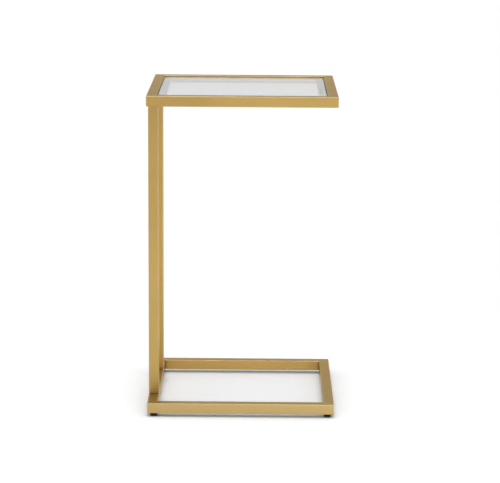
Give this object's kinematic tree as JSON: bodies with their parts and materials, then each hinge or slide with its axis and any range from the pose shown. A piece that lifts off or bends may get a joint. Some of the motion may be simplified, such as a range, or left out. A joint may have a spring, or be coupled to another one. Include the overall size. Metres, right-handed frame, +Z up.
{
  "type": "pull-up table",
  "caption": "C-shaped pull-up side table of square tube with an inset glass top, an open rectangular base and levelling feet.",
  "frame": {"origin": "on the floor under the middle of the table's outline", "axes": "+Z up, +X from the uprights to the open end of the top, +Y from front to back"},
  "size_m": [0.4, 0.38, 0.69],
  "materials": {
    "gold_frame": "satin gold coat, metallic",
    "glass": "polished, clear",
    "soft_trim": "matte soft channel, off-white",
    "zinc_steel": "zinc plated",
    "dark_steel": "black oxide",
    "black_nylon": "moulded nylon"
  },
  "bodies": {
    "frame": {"top_front_rail": "gold_frame", "top_back_rail": "gold_frame", "top_left_rail": "gold_frame", "top_right_rail": "gold_frame", "ledge_front": "gold_frame", "ledge_back": "gold_frame", "ledge_left": "gold_frame", "ledge_right": "gold_frame", "base_front_rail": "gold_frame", "base_back_rail": "gold_frame", "base_left_rail": "gold_frame", "base_right_rail": "gold_frame", "front_upright": "gold_frame", "rear_upright": "gold_frame", "glass_trim_front": "soft_trim", "glass_trim_back": "soft_trim", "glass_trim_left": "soft_trim", "glass_trim_right": "soft_trim", "front_upright_plug": "zinc_steel", "rear_upright_plug": "zinc_steel", "upright_screws": "zinc_steel", "upright_washers": "zinc_steel", "crush_sleeves": "zinc_steel", "foot_inserts": "zinc_steel"},
    "glass": {"glass_pane": "glass"},
    "pad_front_left": {"foot_pad_front_left": "black_nylon"},
    "stud_front_left": {"foot_stud_front_left": "dark_steel"},
    "pad_front_right": {"foot_pad_front_right": "black_nylon"},
    "stud_front_right": {"foot_stud_front_right": "dark_steel"},
    "pad_back_left": {"foot_pad_back_left": "black_nylon"},
    "stud_back_left": {"foot_stud_back_left": "dark_steel"},
    "pad_back_right": {"foot_pad_back_right": "black_nylon"},
    "stud_back_right": {"foot_stud_back_right": "dark_steel"}
  },
  "joints": [
    {"name": "glass_lift", "type": "slide", "parent": "frame", "child": "glass", "axis": [0, 0, 1], "range_m": [0, 0.04]},
    {"name": "foot_height_front_left", "type": "slide", "parent": "frame", "child": "pad_front_left", "axis": [0, 0, -1], "range_m": [0, 0.008]},
    {"name": "stud_turn_front_left", "type": "hinge", "parent": "pad_front_left", "child": "stud_front_left", "pos_m": [-0.186, -0.179, 0.004], "axis": [0, 0, -1], "range_deg": [0, 2881]},
    {"name": "foot_height_front_right", "type": "slide", "parent": "frame", "child": "pad_front_right", "axis": [0, 0, -1], "range_m": [0, 0.008]},
    {"name": "stud_turn_front_right", "type": "hinge", "parent": "pad_front_right", "child": "stud_front_right", "pos_m": [0.186, -0.179, 0.004], "axis": [0, 0, -1], "range_deg": [0, 2881]},
    {"name": "foot_height_back_left", "type": "slide", "parent": "frame", "child": "pad_back_left", "axis": [0, 0, -1], "range_m": [0, 0.008]},
    {"name": "stud_turn_back_left", "type": "hinge", "parent": "pad_back_left", "child": "stud_back_left", "pos_m": [-0.186, 0.179, 0.004], "axis": [0, 0, -1], "range_deg": [0, 2881]},
    {"name": "foot_height_back_right", "type": "slide", "parent": "frame", "child": "pad_back_right", "axis": [0, 0, -1], "range_m": [0, 0.008]},
    {"name": "stud_turn_back_right", "type": "hinge", "parent": "pad_back_right", "child": "stud_back_right", "pos_m": [0.186, 0.179, 0.004], "axis": [0, 0, -1], "range_deg": [0, 2881]}
  ],
  "couplings": [
    {"joint": "stud_turn_front_left", "follows": "foot_height_front_left", "rad_per_m": 6283.2},
    {"joint": "stud_turn_front_right", "follows": "foot_height_front_right", "rad_per_m": 6283.2},
    {"joint": "stud_turn_back_left", "follows": "foot_height_back_left", "rad_per_m": 6283.2},
    {"joint": "stud_turn_back_right", "follows": "foot_height_back_right", "rad_per_m": 6283.2}
  ]
}
